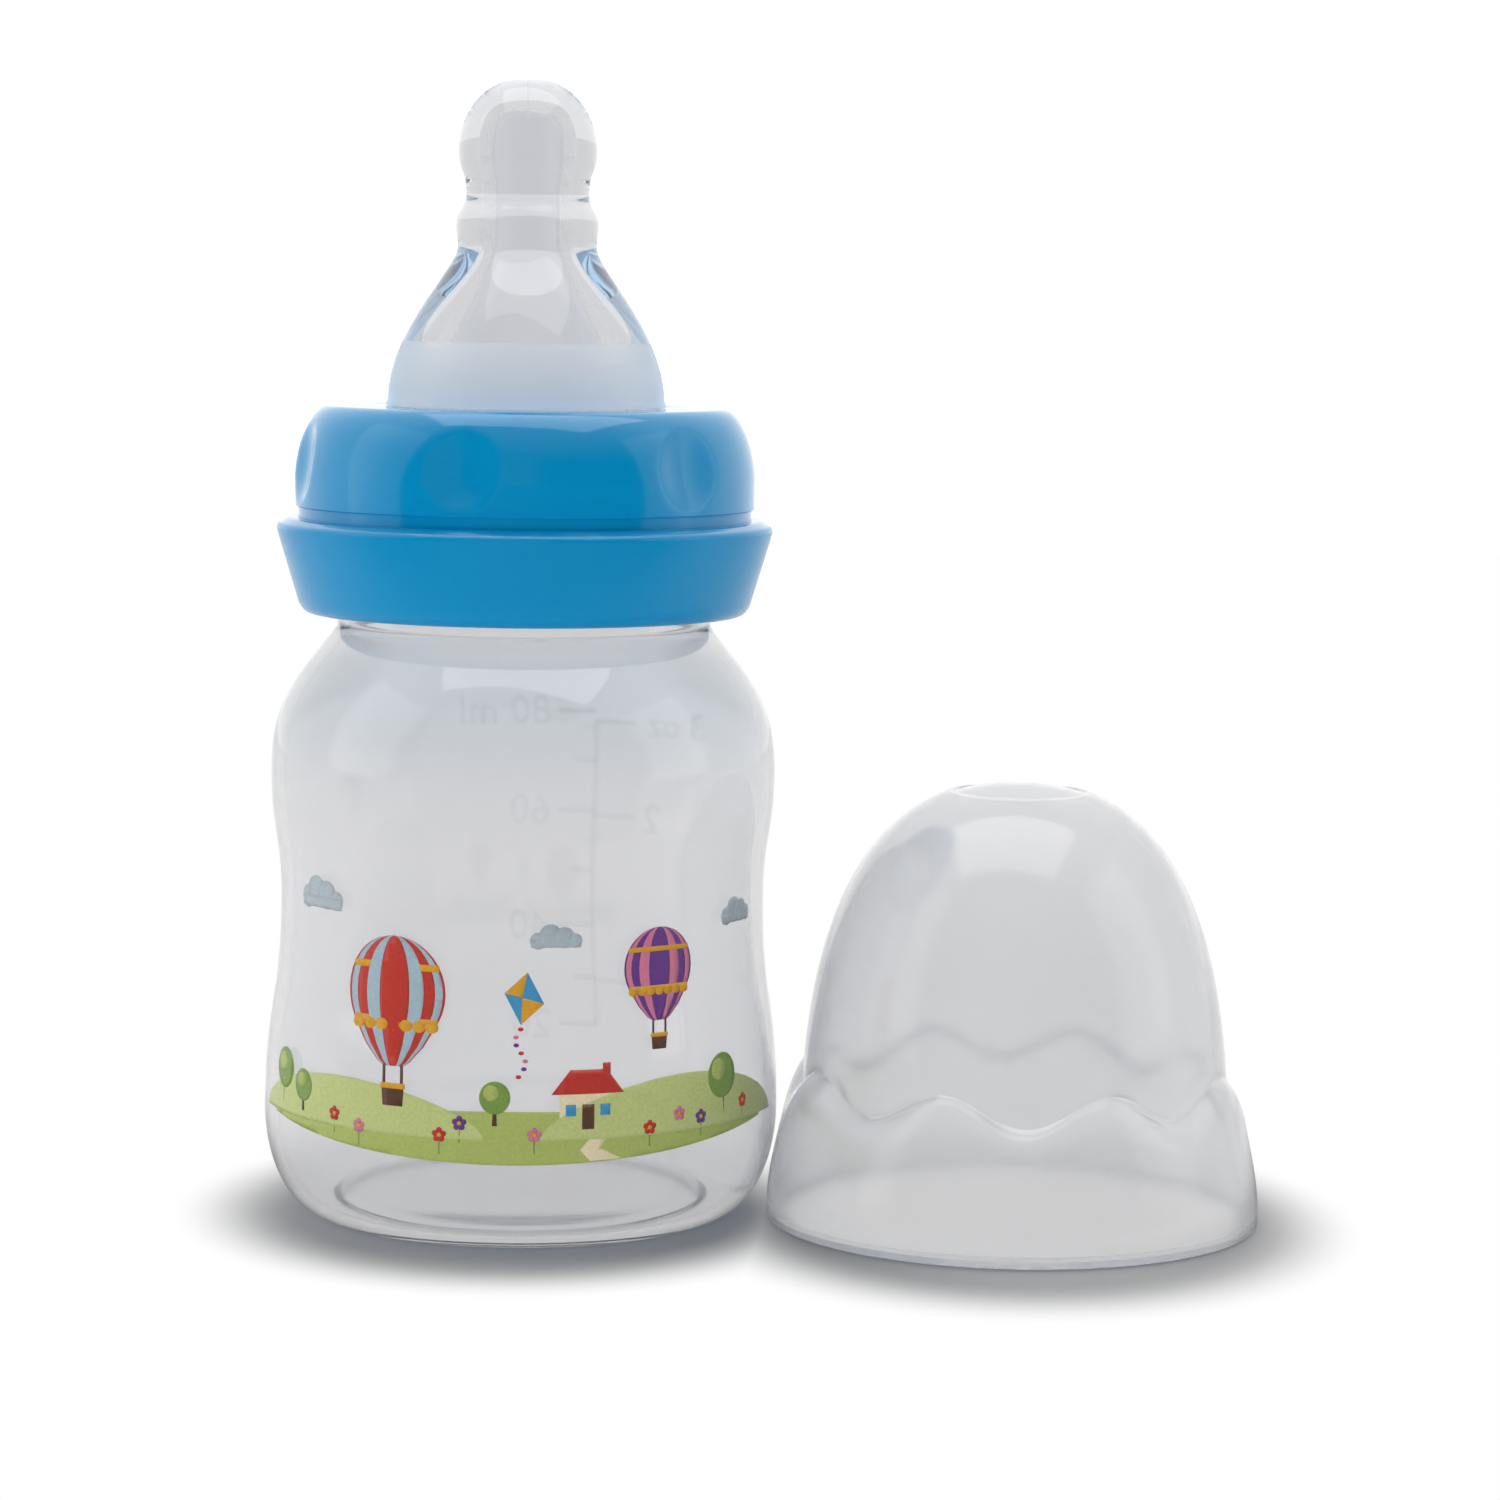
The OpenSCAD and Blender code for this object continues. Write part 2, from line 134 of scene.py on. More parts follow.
def thread_ridge(bm, root, crest, start_z, turns, steps=48):
    """Adds a helical ridge: its section swept by a spin that climbs one pitch a turn."""
    section = [
        (root, -THREAD_ROOT / 2), (crest, -THREAD_CREST / 2),
        (crest, THREAD_CREST / 2), (root, THREAD_ROOT / 2),
    ]
    corners = [bm.verts.new((r * MM, 0, (start_z + z) * MM)) for r, z in section]
    start = bm.faces.new(corners)
    count = round(turns * steps)
    swept = bmesh.ops.spin(
        bm, geom=[start], axis=(0, 0, 1), cent=(0, 0, 0),
        dvec=(0, 0, PITCH / steps * MM), angle=turns * 2 * math.pi, steps=count,
    )
    last = [v for f in swept["geom_last"] if isinstance(f, bmesh.types.BMFace) for v in f.verts]
    for face in (corners, last):
        middle = sum(math.hypot(v.co.x, v.co.y) for v in face) / 4
        for v in face:
            r = math.hypot(v.co.x, v.co.y)
            shrink = (root * MM + (r - root * MM) * 0.3) / r
            v.co.x *= shrink
            v.co.y *= shrink


def finished(bm, name, sharp=35, outward=True):
    """The bmesh as a smooth object whose folds over the given angle stay sharp."""
    if outward:
        bmesh.ops.recalc_face_normals(bm, faces=bm.faces)
    for face in bm.faces:
        face.smooth = True
    for edge in bm.edges:
        if len(edge.link_faces) == 2:
            edge.smooth = edge.calc_face_angle() < math.radians(sharp)
    mesh = bpy.data.meshes.new(name)
    bm.to_mesh(mesh)
    bm.free()
    piece = bpy.data.objects.new(name, mesh)
    bpy.context.scene.collection.objects.link(piece)
    return piece


def linear(colour):
    """A hex sRGB colour such as 0x33AADD as linear RGBA."""
    out = []
    for shift in (16, 8, 0):
        c = (colour >> shift & 255) / 255
        out.append(c / 12.92 if c <= 0.04045 else ((c + 0.055) / 1.055) ** 2.4)
    return (*out, 1.0)


def add(tree, kind, settings=None, links=None):
    """Adds a shader node, sets its values and links its inputs."""
    node = tree.nodes.new(kind)
    for key, value in (settings or {}).items():
        if isinstance(key, int) or key in node.inputs:
            node.inputs[key].default_value = value
        else:
            setattr(node, key, value)
    for key, source in (links or {}).items():
        tree.links.new(source, node.inputs[key])
    return node


def new_material(name):
    """An empty node material and its tree."""
    material = bpy.data.materials.new(name)
    material.use_nodes = True
    material.node_tree.nodes.clear()
    return material, material.node_tree


foot_in = FOOT_R - FOOT_W
body_path = chain(
    [(FOOT_R, 0)],
    curve((FOOT_R, 0), (FOOT_R + 3.2, 0), (BELLY[0], 4.7), BELLY, 20),
    sway(BELLY, WAIST, 24),
    sway(WAIST, SHOULDER, 20),
    curve(SHOULDER, (SHOULDER[0], 51.6), (22.3, 54.2), (NECK_R, NECK_Z), 24),
)
bottle_path = chain(
    curve((0, PUSH_UP), (foot_in * 0.55, PUSH_UP), (foot_in, PUSH_UP), (foot_in, 0.15), 20),
    [(foot_in, 0.15), (foot_in + 0.2, 0), (FOOT_R, 0)],
    body_path,
    # Close rings keep the smooth shading of the shoulder's corner out of the neck
    [(NECK_R, NECK_Z + rise) for rise in (0, 0.15, 0.5, 1.2, 3)] + [(NECK_R, MOUTH_Z - 0.4)],
)
lip = [(NECK_R - 0.12, MOUTH_Z - 0.12), (NECK_R - 0.4, MOUTH_Z)]
inner_path = inset(bottle_path, BOTTLE_WALL)
bm = turned(bottle_path + lip + [(NECK_R - BOTTLE_WALL + 0.3, MOUTH_Z)] + inner_path[::-1],
            closed=False)
thread_ridge(bm, NECK_R - SINK, NECK_R + THREAD_OUT, MOUTH_Z - 2 - NECK_TURNS * PITCH, NECK_TURNS)
bead_crest = (NECK_R + BEAD_OUT, BEAD_Z + BEAD_H / 2)
bead = turned(chain(
    [(NECK_R - SINK, BEAD_Z), (NECK_R, BEAD_Z)],
    sway((NECK_R, BEAD_Z), bead_crest, 6),
    sway(bead_crest, (NECK_R, BEAD_Z + BEAD_H), 6),
    [(NECK_R, BEAD_Z + BEAD_H), (NECK_R - SINK, BEAD_Z + BEAD_H)],
), steps=96)
bead_mesh = bpy.data.meshes.new("bead")
bead.to_mesh(bead_mesh)
bead.free()
bm.from_mesh(bead_mesh)
bpy.data.meshes.remove(bead_mesh)
bottle = finished(bm, "clear_bottle")


def see_through(name, colour, clear, roughness, ior, shade, grain, high=None, uneven=0.02, coat=0.0):
    """Clear plastic. It refracts, and scatters what isn't clear. Rays from lamps and from
    matt surfaces pass straight on, dimmed by the shade colour, so that it throws a soft
    shadow. The grain is the number of faint unevennesses to a metre, and uneven their
    strength. The high colour is a painted blue light from the ring over the shoulder, mixed
    into the wall's colour there. The coat is a glossier skin over a milky body."""
    material, tree = new_material(name)
    place = add(tree, "ShaderNodeTexCoord")
    ripple = add(tree, "ShaderNodeTexNoise", {"Scale": grain, "Detail": 2.0},
                 {"Vector": place.outputs["Object"]})
    bump = add(tree, "ShaderNodeBump", {"Strength": uneven, "Distance": 0.0005},
               {"Height": ripple.outputs["Fac"]})
    body = add(tree, "ShaderNodeBsdfPrincipled", {
        "Base Color": linear(colour), "Roughness": roughness, "IOR": ior,
        "Transmission Weight": clear, "Coat Weight": coat, "Coat Roughness": 0.04,
    }, {"Normal": bump.outputs["Normal"]})
    # Painted light: between these heights the wall's colour turns to the high colour, the ring's blue
    # light on the shoulder
    if high:
        parts = add(tree, "ShaderNodeSeparateXYZ", None, {"Vector": place.outputs["Object"]})
        above = add(tree, "ShaderNodeMapRange", {
            "interpolation_type": "SMOOTHSTEP", "From Min": RING_LIGHT_IN[0], "From Max": RING_LIGHT_IN[1],
        }, {"Value": parts.outputs["Z"]})
        below = add(tree, "ShaderNodeMapRange", {
            "interpolation_type": "SMOOTHSTEP", "From Min": RING_LIGHT_OUT[0], "From Max": RING_LIGHT_OUT[1],
            "To Min": 1.0, "To Max": 0.0,
        }, {"Value": parts.outputs["Z"]})
        share = add(tree, "ShaderNodeMath", {"operation": "MULTIPLY"},
                    {0: above.outputs[0], 1: below.outputs[0]})
        tone = add(tree, "ShaderNodeMix", {"data_type": "RGBA"}, {"Factor": share.outputs[0]})
        tone.inputs[6].default_value = linear(colour)
        tone.inputs[7].default_value = linear(high)
        tree.links.new(tone.outputs[2], body.inputs["Base Color"])
    let_by = add(tree, "ShaderNodeBsdfTransparent", {"Color": linear(shade)})
    ray = add(tree, "ShaderNodeLightPath")
    straight = add(tree, "ShaderNodeMath", {"operation": "MAXIMUM"},
                   {0: ray.outputs["Is Shadow Ray"], 1: ray.outputs["Is Diffuse Ray"]})
    pick = add(tree, "ShaderNodeMixShader", None, {"Fac": straight.outputs[0]})
    tree.links.new(body.outputs[0], pick.inputs[1])
    tree.links.new(let_by.outputs[0], pick.inputs[2])
    add(tree, "ShaderNodeOutputMaterial", None, {"Surface": pick.outputs[0]})
    return material


# Clarified polypropylene, smooth from a polished mould, with the faint haze of its
# crystals: light grey where two walls lie behind one another. Its blown wall swells a
# little every 11 mm, or 90 times a metre.
# Its high colour is a painted blue light from the ring on the shoulder
clear_pp = see_through("clarified_polypropylene", 0xF9F9FA, clear=0.95, roughness=0.06, ior=1.49,
                       shade=0xDEE0E4, grain=90.0, high=0xEEF2F6)
bottle.data.materials.append(clear_pp)
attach(bottle, "bottle")
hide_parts("bottle")


# ---- printed picture -----------------------------------------------------------
# Screen-printed inks on the front of the body: a green common with two striped hot-air
# balloons, round trees, a cottage, a kite, clouds and flowers. Each ink is a flat film
# that follows the wall, and a later one lies on those before it.
INK_GAP, INK_STEP, INK_T = 0.03, 0.006, 0.02
CELL = 0.8
# Where the picture's middle lies round the body, in degrees
FRONT = -90
RED, SKY_GREY, GOLD, BROWN = 0xC6382C, 0xA9C1CD, 0xE2A424, 0x5E3F2C
GRASS, FAR_GRASS, LEAF, CLOUD = 0xB3C268, 0xC6D287, 0x7E9F48, 0xB2BEC6
PURPLE, BLUE, PINK, CREAM = 0x6C3C8E, 0x3F97CA, 0xD97F9B, 0xF1E3BC
INKS = [RED, SKY_GREY, GOLD, BROWN, GRASS, FAR_GRASS, LEAF, CLOUD, PURPLE, BLUE, PINK, CREAM]


def wall_r(z):
    """Radius of the body's outside at a height, in millimetres."""
    for (r0, z0), (r1, z1) in zip(body_path, body_path[1:]):
        if z0 <= z <= z1 and z1 > z0:
            return r0 + (r1 - r0) * (z - z0) / (z1 - z0)
    return NECK_R


def on_wall(v, turn, lift):
    """Lays a point of a flat picture on the body: x becomes the way round from turn."""
    x, z = v.co.x, v.co.y
    r = wall_r(z)
    angle = math.radians(turn) + x / r
    v.co = Vector(((r + lift) * math.cos(angle), (r + lift) * math.sin(angle), z)) * MM


def grid_cut(bm, cell):
    """Cuts flat shapes into cells, so that they can follow the wall."""
    for axis in (0, 1):
        low = min(v.co[axis] for v in bm.verts)
        high = max(v.co[axis] for v in bm.verts)
        for i in range(math.floor(low / cell), math.ceil(high / cell) + 1):
            place, normal = [0, 0, 0], [0, 0, 0]
            place[axis], normal[axis] = i * cell, 1
            bmesh.ops.bisect_plane(bm, geom=bm.verts[:] + bm.edges[:] + bm.faces[:],
                                   plane_co=place, plane_no=normal)


picture = bmesh.new()
layer = picture.verts.layers.int.new("layer")


def film(ink, level, points):
    """One flat printed shape through points of millimetres round and up, on a level."""
    corners = [picture.verts.new((x, z, 0)) for x, z in points]
    for v in corners:
        v[layer] = level
    picture.faces.new(corners).material_index = INKS.index(ink)


def disc(ink, level, x, z, r, tall=1.0, sides=24):
    """A printed round spot, or an oval one when tall isn't 1."""
    film(ink, level, [(x + r * math.cos(2 * math.pi * i / sides),
                       z + r * tall * math.sin(2 * math.pi * i / sides)) for i in range(sides)])


def slab(ink, level, x0, x1, z0, z1, lean=0.0):
    """An upright printed block, its top narrower on both sides by the lean."""
    film(ink, level, [(x0, z0), (x1, z0), (x1 - lean, z1), (x0 + lean, z1)])


def envelope(x, z, r, share):
    """Outline of a balloon's envelope, its widths times a share."""
    side = [(r * math.cos(math.radians(a)), r * math.sin(math.radians(a)))
            for a in range(90, -31, -10)]
    side += [(0.6 * r, -0.93 * r), (0.33 * r, -1.22 * r), (0.2 * r, -1.3 * r)]
    return ([(x + w * share, z + h) for w, h in side]
            + [(x - w * share, z + h) for w, h in side[:0:-1]])


def balloon(x, z, r, first, second, trim, gores=5):
    """A striped hot-air balloon with its bands, ropes and basket."""
    for i in range(gores, 0, -1):
        share = math.sin(math.radians(90 * i / gores))
        film(first if i % 2 else second, 3 + gores - i, envelope(x, z, r, share))
    top = 4 + gores
    for h, w in ((0.46, 0.88), (-0.5, 0.86)):
        slab(trim, top, x - w * r, x + w * r, z + (h - 0.06) * r, z + (h + 0.06) * r)
    for k in range(-3, 4):
        disc(trim, top + 1 + k % 2, x + 0.25 * r * k, z - 0.58 * r, 0.13 * r, 0.8, 12)
    for side in (-1, 1):
        x1 = x + side * 0.18 * r
        slab(BROWN, top, x1 - 0.03 * r, x1 + 0.03 * r, z - 1.66 * r, z - 1.28 * r)
    slab(BROWN, top + 1, x - 0.2 * r, x + 0.2 * r, z - 2 * r, z - 1.64 * r, -0.03 * r)
    slab(trim, top + 2, x - 0.25 * r, x + 0.25 * r, z - 1.7 * r, z - 1.6 * r)


def hill(ink, level, x0, x1, low, high, sag=0.0, n=40):
    """A strip of common: a flat oval arc above, and a lower edge that sags."""
    top = [(x0 + (x1 - x0) * i / n, low + (high - low) * math.sin(math.pi * i / n) ** 0.6)
           for i in range(n + 1)]
    under = [(x0 + (x1 - x0) * i / n, low - sag * math.sin(math.pi * i / n))
             for i in range(n - 1, 0, -1)]
    film(ink, level, top + under)


def round_tree(x, z, r):
    """A tree with a tapered trunk and a round crown lit from one side."""
    slab(BROWN, 4, x - 0.16 * r, x + 0.16 * r, z, z + 1.2 * r, 0.05 * r)
    disc(LEAF, 5, x, z + 1.8 * r, r, 1.05)
    disc(GRASS, 6, x - 0.25 * r, z + 2.1 * r, 0.5 * r)


def cloud(x, z, w):
    """A flat-bottomed cloud of four puffs."""
    puffs = ((-0.32, 0, 0.15), (-0.1, 0.09, 0.21), (0.14, 0.06, 0.19), (0.34, 0, 0.13))
    for i, (dx, dz, r) in enumerate(puffs):
        disc(CLOUD, 1 + i, x + dx * w, z + dz * w, r * w)
    slab(CLOUD, 5, x - 0.45 * w, x + 0.45 * w, z - 0.12 * w, z + 0.03 * w, 0.03 * w)


def flower(x, z, r, petals):
    """A flower on a stalk: five petals round a golden middle."""
    slab(LEAF, 4, x - 0.07, x + 0.07, z, z + 3 * r)
    for i in range(5):
        a = 2 * math.pi * i / 5 + 0.3
        disc(petals, 5 + i, x + 0.7 * r * math.cos(a), z + (3 + 0.7 * math.sin(a)) * r, 0.5 * r, 1, 10)
    disc(GOLD, 10, x, z + 3 * r, 0.36 * r, 1, 10)


hill(FAR_GRASS, 1, -33, -2, 11.6, 16.6)
hill(FAR_GRASS, 1, 3, 34, 11.6, 17.2)
hill(GRASS, 2, -30, 31, 11.4, 14.4, 2.2)
cloud(-21.5, 33.2, 7.4)
cloud(4.5, 30.6, 5.4)
cloud(26.5, 31.6, 6.0)
for x, z, r in ((-27.5, 12.6, 1.9), (-23.6, 12.2, 1.5), (-1.2, 13.0, 1.5), (23.5, 12.6, 2.1)):
    round_tree(x, z, r)
balloon(-11.5, 25.2, 5.4, RED, SKY_GREY, GOLD)
balloon(15.2, 27.6, 3.9, PURPLE, PINK, GOLD)
# A cottage: walls, chimney, roof, door, windows, and a path from its door
slab(CREAM, 3, 5.0, 10.6, 12.6, 16.2)
slab(RED, 4, 9.2, 10.0, 16.4, 18.9)
slab(RED, 5, 4.2, 11.4, 16.0, 18.3, 1.8)
slab(BROWN, 5, 7.2, 8.4, 12.6, 15.0)
slab(BLUE, 5, 5.6, 6.6, 13.9, 15.0)
slab(BLUE, 5, 9.0, 10.0, 13.9, 15.0)
film(CREAM, 3, [(7.2, 12.5), (8.4, 12.5), (9.6, 11.6), (9.0, 10.7), (11.2, 9.6), (8.0, 9.5),
                (7.0, 10.6), (7.9, 11.6)])
# A kite with a tail of bows
film(BLUE, 1, [(1.2, 22.6), (3.4, 24.6), (1.8, 27.6), (-0.4, 25.6)])
film(GOLD, 2, [(1.2, 22.6), (3.4, 24.6), (1.3, 25.2)])
film(GOLD, 3, [(1.8, 27.6), (-0.4, 25.6), (1.3, 25.2)])
for i in range(7):
    disc((RED, PINK, PURPLE)[i % 3], 1, 1.2 - 0.5 * math.sin(i * 1.1), 22.2 - 0.75 * i, 0.28, 0.7, 10)
for x, z, petals in ((-18.6, 11.0, RED), (-15.4, 10.2, PINK), (-6.6, 10.1, RED),
                     (-4.6, 11.3, PURPLE), (2.6, 10.3, PINK), (14.2, 10.5, RED),
                     (17.6, 11.5, PINK), (20.4, 10.9, PURPLE), (27.0, 11.6, RED)):
    flower(x, z, 0.62, petals)

grid_cut(picture, CELL)
# A cut's new points take the level of the shape that they belong to
todo = list(picture.verts)
for v in todo:
    for edge in v.link_edges:
        near = edge.other_vert(v)
        if near[layer] < v[layer]:
            near[layer] = v[layer]
            todo.append(near)
for v in picture.verts:
    on_wall(v, FRONT, INK_GAP + INK_STEP * v[layer])
picture_piece = finished(picture, "printed_picture")
film_wall = picture_piece.modifiers.new("film", "SOLIDIFY")
film_wall.thickness = INK_T * MM
film_wall.offset = -1


def ink_material(name, colour):
    """Screen-print ink: matt, a little uneven, with the dots of its mesh. They are drawn
    0.3 mm apart, coarser than real ones, so that they show."""
    material, tree = new_material(name)
    place = add(tree, "ShaderNodeTexCoord")
    grain = add(tree, "ShaderNodeTexNoise", {"Scale": 3500.0, "Detail": 1.0},
                {"Vector": place.outputs["Object"]})
    red, green, blue, _ = linear(colour)
    tone = add(tree, "ShaderNodeMix", {"data_type": "RGBA"}, {"Factor": grain.outputs["Fac"]})
    tone.inputs[6].default_value = (red * 0.86, green * 0.86, blue * 0.86, 1)
    tone.inputs[7].default_value = (min(red * 1.14, 1), min(green * 1.14, 1), min(blue * 1.14, 1), 1)
    surface = add(tree, "ShaderNodeBsdfPrincipled", {"Roughness": 0.38, "IOR": 1.5},
                  {"Base Color": tone.outputs[2]})
    add(tree, "ShaderNodeOutputMaterial", None, {"Surface": surface.outputs[0]})
    return material


INK_NAMES = ["red", "sky_grey", "golden", "brown", "grass", "far_grass", "leaf", "cloud",
             "purple", "blue", "pink", "cream"]
for name, colour in zip(INK_NAMES, INKS):
    picture_piece.data.materials.append(ink_material("screen_ink_" + name, colour))
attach(picture_piece, "bottle")


# ---- raised scale --------------------------------------------------------------
# Lines and figures that stand 0.25 mm proud of the back of the body, moulded with it: a
# stem with millilitre marks on one side and ounce marks on the other.
MARK_OUT, MARK_W, ML_STEP, OZ_ML = 0.25, 0.5, 10, 29.57
FIGURE_H, FIGURE_GAP, CAPITAL_SHARE = 3.2, 0.8, 0.7
# The stem ends a little over the shoulder's widest place
STEM_TOP = 47.5
# Where it stands round the body, and how far the marks reach from it, in degrees
STEM_TURN, TICK, HALF_TICK = 74, 10, 6


def fill_height(ml):
    """Height to which a volume fills the bottle, added up in thin slices."""
    z, held, slice_h = PUSH_UP + BOTTLE_WALL, 0.0, 0.25
    while held < ml and z < NECK_Z:
        held += math.pi * (wall_r(z) - BOTTLE_WALL) ** 2 * slice_h / 1000
        z += slice_h
    return z


scale = bmesh.new()


def raised(points):
    """A flat mark on the scale, in millimetres round from its stem and up."""
    scale.faces.new([scale.verts.new((x, z, 0)) for x, z in points])


def bar(x0, x1, z):
    """A raised line level with a height."""
    raised([(x0, z - MARK_W / 2), (x1, z - MARK_W / 2), (x1, z + MARK_W / 2), (x0, z + MARK_W / 2)])


# Millimetres to a degree round the back
deg = 25 * math.pi / 180
stem_high = min(fill_height(3 * OZ_ML), STEM_TOP)
raised([(0, fill_height(20)), (MARK_W, fill_height(20)), (MARK_W, stem_high), (0, stem_high)])
for ml in range(2 * ML_STEP, 81, ML_STEP):
    reach = (TICK if ml % (2 * ML_STEP) == 0 else HALF_TICK) * deg
    bar(0.3, reach, fill_height(ml))
for oz in (1, 2, 3):
    bar(-TICK * deg, 0.2, min(fill_height(oz * OZ_ML), stem_high))


def figures(text, x, z):
    """Adds a figure's flat outline to the scale, its foot's left corner at a place."""
    font = bpy.data.curves.new("figure", "FONT")
    font.body = text
    font.size = FIGURE_H / CAPITAL_SHARE
    font.resolution_u = 3
    piece = bpy.data.objects.new("figure", font)
    bpy.context.scene.collection.objects.link(piece)
    bpy.context.view_layer.update()
    flat = bpy.data.meshes.new_from_object(piece.evaluated_get(bpy.context.evaluated_depsgraph_get()))
    flat.transform(Matrix.Translation((x, z, 0)))
    scale.from_mesh(flat)
    bpy.data.objects.remove(piece)
    bpy.data.meshes.remove(flat)
    bpy.data.curves.remove(font)


for ml in (20, 40, 60):
    figures(str(ml), TICK * deg + FIGURE_GAP, fill_height(ml) - FIGURE_H / 2)
figures("80 ml", TICK * deg + FIGURE_GAP, fill_height(80) - FIGURE_H / 2)
for oz in (1, 2):
    figures(str(oz), -TICK * deg - 3.4, fill_height(oz * OZ_ML) - FIGURE_H / 2)
figures("3 oz", -TICK * deg - 9.6, stem_high - FIGURE_H / 2)
bmesh.ops.remove_doubles(scale, verts=scale.verts, dist=1e-4)
grid_cut(scale, CELL)
for v in scale.verts:
    on_wall(v, STEM_TURN, MARK_OUT)
scale_piece = finished(scale, "raised_scale")
scale_wall = scale_piece.modifiers.new("relief", "SOLIDIFY")
scale_wall.thickness = (MARK_OUT - 0.01) * MM
scale_wall.offset = -1
# The same plastic. A lower index stands for its being one with the wall under it, so
# that only a faint trace of it shows.
relief_pp = see_through("relief_polypropylene", 0xFBFBFC, clear=0.98, roughness=0.1, ior=1.06,
                        shade=0xF0F2F4, grain=90.0)
scale_piece.data.materials.append(relief_pp)
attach(scale_piece, "bottle")


# ---- teat ----------------------------------------------------------------------
# Compression-moulded clear silicone rubber, 3 mm thick, with a bulb, a necking and a
# flared foot. The foot's outside is frosted by a blasted mould up to a sharp line.
RING_TOP = 80.7
TIP_Z = 112.9
TEAT_BASE_R = 13.75
FLARE_R, FLARE_Z = 6.92, TIP_Z - 16.4
LIP_TOP = RING_TOP + 0.75
FROST_Z = 87.1
FLANGE_Z, FLANGE_R, FLANGE_T = 77.05, 18.5, 2.0
FEED_HOLE_R = 0.1
# Its inside is the core pin's form: a plain funnel, a straight stem and a blunt top
STEM_IN, BULB_IN, BASE_IN, TOP_IN = 3.2, 3.55, 10.7, TIP_Z - 3.4

teat_path = chain(
    curve((TEAT_BASE_R, LIP_TOP), (TEAT_BASE_R - 0.25, 88.6), (FLARE_R, 94.3),
          (FLARE_R, FLARE_Z), 36),
    sway((FLARE_R, FLARE_Z), (7.12, TIP_Z - 14.4), 8),
    sway((7.12, TIP_Z - 14.4), (6.12, TIP_Z - 11), 16),
    sway((6.12, TIP_Z - 11), (6.9, TIP_Z - 7.1), 16),
    curve((6.9, TIP_Z - 7.1), (6.9, TIP_Z - 3.2), (1 + 3.24, TIP_Z), (1, TIP_Z), 24),
)
teat_inner = chain(
    curve((BASE_IN, FLANGE_Z), (BASE_IN, FLANGE_Z + 9), (STEM_IN + 0.3, 90.0), (STEM_IN, 97.5), 30),
    sway((STEM_IN, 97.5), (STEM_IN, 102.0), 4),
    sway((STEM_IN, 102.0), (BULB_IN, 106.2), 10),
    curve((BULB_IN, 106.2), (BULB_IN, 108.4), (BULB_IN - 0.8, TOP_IN), (BULB_IN - 2.0, TOP_IN), 14),
)
feed_hole = [(FEED_HOLE_R + 0.1, TIP_Z), (FEED_HOLE_R, TIP_Z - 0.1), (FEED_HOLE_R, TOP_IN)]
foot = [
    (BASE_IN, FLANGE_Z), (FLANGE_R - 0.3, FLANGE_Z), (FLANGE_R, FLANGE_Z + 0.3),
    (FLANGE_R, FLANGE_Z + FLANGE_T - 0.3), (FLANGE_R - 0.3, FLANGE_Z + FLANGE_T),
    (TEAT_BASE_R - 0.3, FLANGE_Z + FLANGE_T), (TEAT_BASE_R - 0.3, RING_TOP + 0.05),
    (TEAT_BASE_R + 0.15, RING_TOP + 0.07), (TEAT_BASE_R + 0.15, RING_TOP + 0.3),
]
bm = turned(foot + teat_path + feed_hole + teat_inner[::-1])
# A cut along the frost's edge, so that the two finishes meet on a sharp line
bmesh.ops.bisect_plane(
    bm, geom=bm.verts[:] + bm.edges[:] + bm.faces[:], plane_co=(0, 0, FROST_Z * MM),
    plane_no=(0, 0, 1),
)
bmesh.ops.recalc_face_normals(bm, faces=bm.faces)
for face in bm.faces:
    middle = face.calc_center_median()
    outside = face.normal.dot(Vector((middle.x, middle.y, 0))) > 0
    frosted = RING_TOP * MM < middle.z < FROST_Z * MM and outside
    face.material_index = 1 if frosted else 0
teat = finished(bm, "silicone_teat")
# Clear silicone from a polished mould: very smooth, with a lower index than hard
# plastics, and swells 17 mm across that hardly bend what lies behind it.
silicone = see_through("clear_silicone", 0xF7F8FB, clear=0.98, roughness=0.03, ior=1.36,
                       shade=0xE8EBEF, grain=60.0, uneven=0.004)
# The same silicone where the mould was blasted: a soft white, with a painted blue light from the
# ring in its colour. The pits are drawn 2.5 mm across, much coarser than real, so that they show.
frosted_silicone = see_through("frosted_silicone", 0xF3F9FF, clear=0.66, roughness=0.4, ior=1.36,
                               shade=0xDAE4EE, grain=400.0)
teat.data.materials.append(silicone)
teat.data.materials.append(frosted_silicone)
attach(teat, "teat")
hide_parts("teat")


# ---- screw ring ----------------------------------------------------------------
# Injection-moulded blue polypropylene. The grip is polished and has six finger dents,
# the flared skirt is satin, and a fine groove between them takes the cap's snap ridge.
BORE_R, GRIP_R, SKIRT_R = 20.0, 22.9, 24.7
LEDGE_Z, SKIRT_Z, PLATE_Z = 69.6, 60.2, 79.1
GROOVE_W, GROOVE_D = 1.1, 0.3
DENT_COUNT, DENT_DEPTH, DENT_TURN = 6, 1.0, -43
DENT_HALF_W, DENT_HALF_H = 4.1, 4.2
HOLE_R = 13.55
RING_TURNS, RING_THREAD_Z = 1, 68.84

